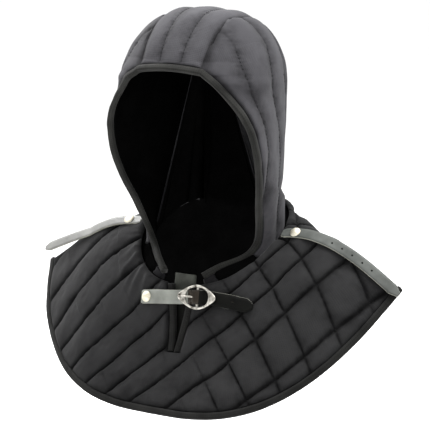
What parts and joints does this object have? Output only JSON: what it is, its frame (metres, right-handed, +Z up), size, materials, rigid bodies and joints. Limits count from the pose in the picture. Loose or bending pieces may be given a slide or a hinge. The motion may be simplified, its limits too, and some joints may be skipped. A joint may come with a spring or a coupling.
{
  "type": "padded arming coif",
  "caption": "Padded arming coif: quilted hood with a diamond-quilted mantle, bound edges, shoulder straps and a buckled throat strap.",
  "frame": {"origin": "inside of the crown, where the wearer's head holds the coif up", "axes": "+X towards the wearer's left, +Y towards the back, +Z up"},
  "size_m": [0.501, 0.2746, 0.4621],
  "materials": {
    "hood_cloth": "matt woven cotton, quilted",
    "mantle_cloth": "matt woven cotton, quilted",
    "binding": "twill tape",
    "leather": "smooth, waxed",
    "buckle_metal": "antique, worn bright",
    "rivet_metal": "pale, polished"
  },
  "bodies": {
    "root": {"hood_side_left": "hood_cloth", "hood_side_right": "hood_cloth", "hood_crown": "hood_cloth", "mantle_front": "mantle_cloth", "mantle_back": "mantle_cloth", "hem_binding_front": "binding", "hem_binding_back": "binding", "slit_binding_left": "binding", "slit_binding_right": "binding", "face_binding": "binding", "throat_tongue": "leather", "front_strap": "leather", "buckle_chape": "leather", "shoulder_strap_left": "leather", "shoulder_strap_right": "leather", "buckle_frame": "buckle_metal", "buckle_prong": "buckle_metal", "front_rivet": "rivet_metal", "shoulder_rivet_left": "rivet_metal", "shoulder_rivet_right": "rivet_metal"}
  },
  "joints": []
}
